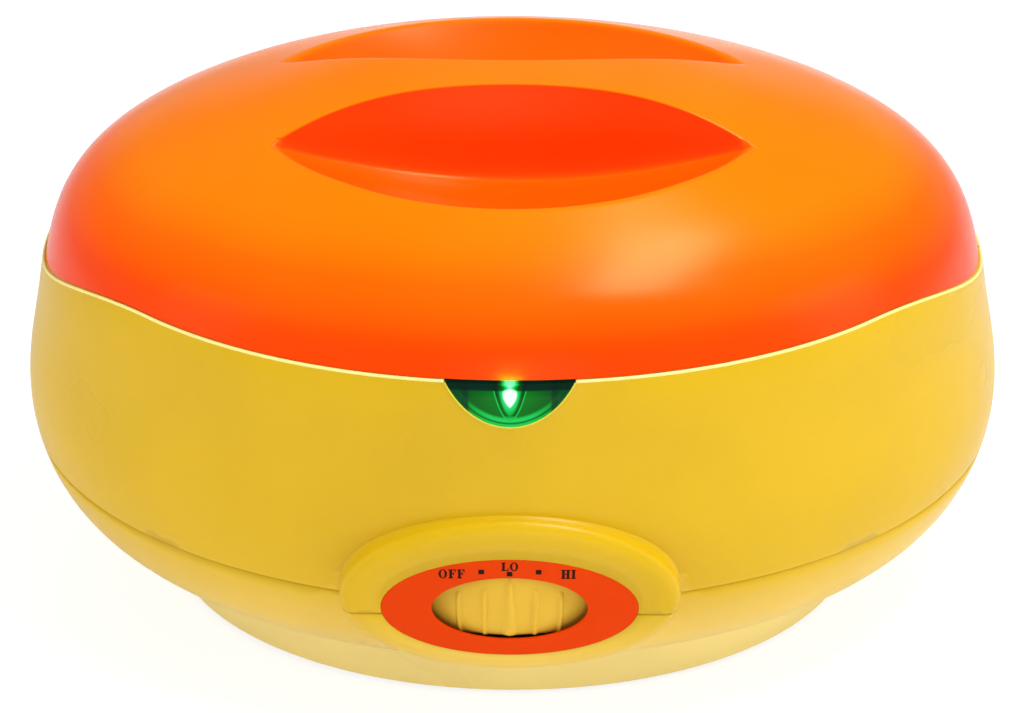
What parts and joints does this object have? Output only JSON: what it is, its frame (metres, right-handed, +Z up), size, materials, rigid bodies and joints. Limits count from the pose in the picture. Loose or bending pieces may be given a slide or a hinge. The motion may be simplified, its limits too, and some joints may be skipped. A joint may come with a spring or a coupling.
{
  "type": "paraffin bath",
  "caption": "Oval table-top paraffin wax bath with a lift-off domed lid with finger scoops, a wax tank, an indicator window and an edge-on heat dial on a front boss.",
  "frame": {"origin": "middle of the oval, on the plane that the rubber feet stand on", "axes": "+X along the casing, -Y towards the heat dial, +Z up towards the lid"},
  "size_m": [0.3802, 0.2762, 0.2183],
  "materials": {
    "lid_plastic": "satin moulded, fine grain",
    "casing_plastic": "satin moulded, fine grain",
    "dial_plastic": "satin moulded",
    "bezel_plastic": "satin moulded, printed marks",
    "tank_aluminium": "satin drawn, clear-coated",
    "seal_rubber": "matt",
    "blanket_felt": "loose felt",
    "grille_plastic": "satin moulded",
    "heater_steel": "heat-tinted sheath",
    "bright_aluminium": "bright sheet",
    "plated_steel": "zinc plated",
    "control_ceramic": "unglazed",
    "lens_plastic": "clear green moulded",
    "lamp_glow": "lit",
    "inlet_plastic": "moulded",
    "contact_brass": "plated",
    "block_plastic": "moulded"
  },
  "bodies": {
    "root": {"upper_housing": "casing_plastic", "base_housing": "casing_plastic", "inner_tank": "tank_aluminium", "tank_gasket": "seal_rubber", "insulation_blanket": "blanket_felt", "heating_element": "heater_steel", "heater_clamp_plate": "bright_aluminium", "tank_studs": "plated_steel", "stud_nuts": "plated_steel", "heat_shield": "bright_aluminium", "thermostat_body": "control_ceramic", "thermostat_strap": "plated_steel", "dial_bezel": "bezel_plastic", "indicator_lens": "lens_plastic", "indicator_lamp": "lamp_glow", "lamp_holder": "plated_steel", "mains_inlet": "inlet_plastic", "inlet_pins": "contact_brass", "inlet_screws": "plated_steel", "housing_screws": "plated_steel", "rubber_feet": "seal_rubber", "thermal_fuse": "plated_steel", "fuse_clip": "plated_steel", "terminal_block": "block_plastic"},
    "lid": {"lid_shell": "lid_plastic"},
    "grille": {"wax_grille": "grille_plastic"},
    "dial": {"dial_wheel": "dial_plastic", "thermostat_shaft": "plated_steel"}
  },
  "joints": [
    {"name": "lid_lift", "type": "slide", "parent": "root", "child": "lid", "axis": [0, 0, 1], "range_m": [0, 0.16]},
    {"name": "grille_lift", "type": "slide", "parent": "root", "child": "grille", "axis": [0, 0, 1], "range_m": [0, 0.05]},
    {"name": "heat_dial", "type": "hinge", "parent": "root", "child": "dial", "pos_m": [0, -0.0613, 0.0744], "axis": [0, 0, 1], "range_deg": [-16.3, 16.3]}
  ]
}
